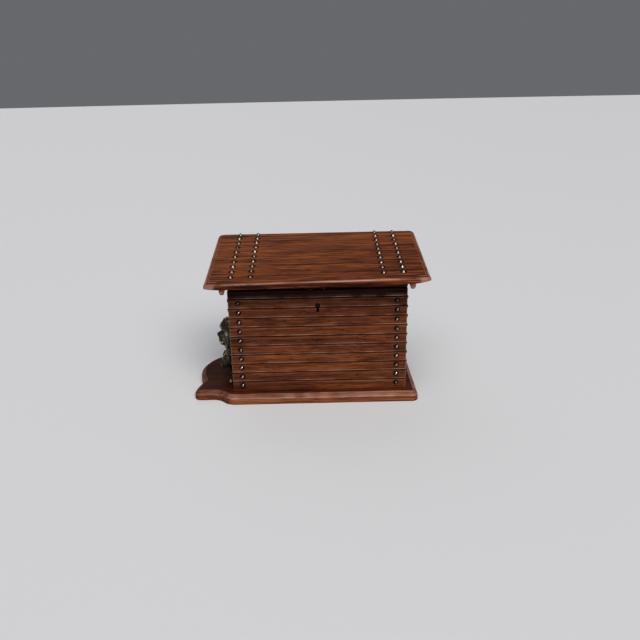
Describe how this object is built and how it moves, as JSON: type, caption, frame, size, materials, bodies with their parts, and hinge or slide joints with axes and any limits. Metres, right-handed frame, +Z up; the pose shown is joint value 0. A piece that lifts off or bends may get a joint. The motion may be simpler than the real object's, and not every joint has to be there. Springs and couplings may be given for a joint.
{
  "type": "humidor",
  "caption": "Humidor shaped like a timber kennel: scored oak walls with domed studs, a sloping lid hinged at the back, a box lock, and a cast hound looking out of an arched side doorway.",
  "frame": {"origin": "on the table plane, under the middle of the box's four walls", "axes": "+X to the viewer's right along the front wall, +Y from the keyhole front to the hinged back, +Z up"},
  "size_m": [0.2703, 0.1522, 0.175],
  "materials": {
    "oak": "stained and waxed oak, worn lighter on the edges",
    "cedar": "unfinished red cedar",
    "cast_metal": "dark bronzed casting rubbed bright on the high spots",
    "stud_steel": "darkened nickel with bright crowns",
    "brass": "aged brass",
    "steel": "plain drawn steel",
    "pad": "dense absorbent pad"
  },
  "bodies": {
    "box": {"back_lining": "cedar", "back_studs": "stud_steel", "back_wall": "oak", "base_plank": "oak", "base_screws": "steel", "cast_head": "cast_metal", "cast_paw_back": "cast_metal", "cast_paw_front": "cast_metal", "casting_screws": "steel", "door_arch": "oak", "door_sill": "oak", "floor_lining": "cedar", "front_lining": "cedar", "front_studs": "stud_steel", "front_wall": "oak", "hinge_lower_leaf_left": "brass", "hinge_lower_leaf_right": "brass", "hinge_lower_screws": "brass", "hinge_pin_left": "steel", "hinge_pin_right": "steel", "left_lining": "cedar", "left_studs": "stud_steel", "left_wall": "oak", "lock_case": "brass", "lock_cover_plate": "brass", "lock_key_pin": "steel", "lock_screws": "brass", "right_lining": "cedar", "right_studs": "stud_steel", "right_wall": "oak", "side_knob": "cast_metal"},
    "lid": {"lid_board": "oak", "lid_front_rail": "oak", "lid_batten_left": "oak", "lid_batten_right": "oak", "lid_studs": "stud_steel", "hinge_upper_leaf_left": "brass", "hinge_upper_leaf_right": "brass", "hinge_upper_screws": "brass", "lock_link_plate": "brass", "link_plate_screws": "brass", "humidifier_case": "brass", "humidifier_pad": "pad", "humidifier_cover": "brass", "humidifier_screws": "brass"},
    "bolt": {"lock_bolt": "brass"}
  },
  "joints": [
    {"name": "lid_hinge", "type": "hinge", "parent": "box", "child": "lid", "pos_m": [0, 0.06168, 0.16669], "axis": [-1, 0, 0], "range_deg": [0, 100]},
    {"name": "lock_bolt_slide", "type": "slide", "parent": "box", "child": "bolt", "axis": [1, 0, 0], "range_m": [0, 0.0024]}
  ]
}
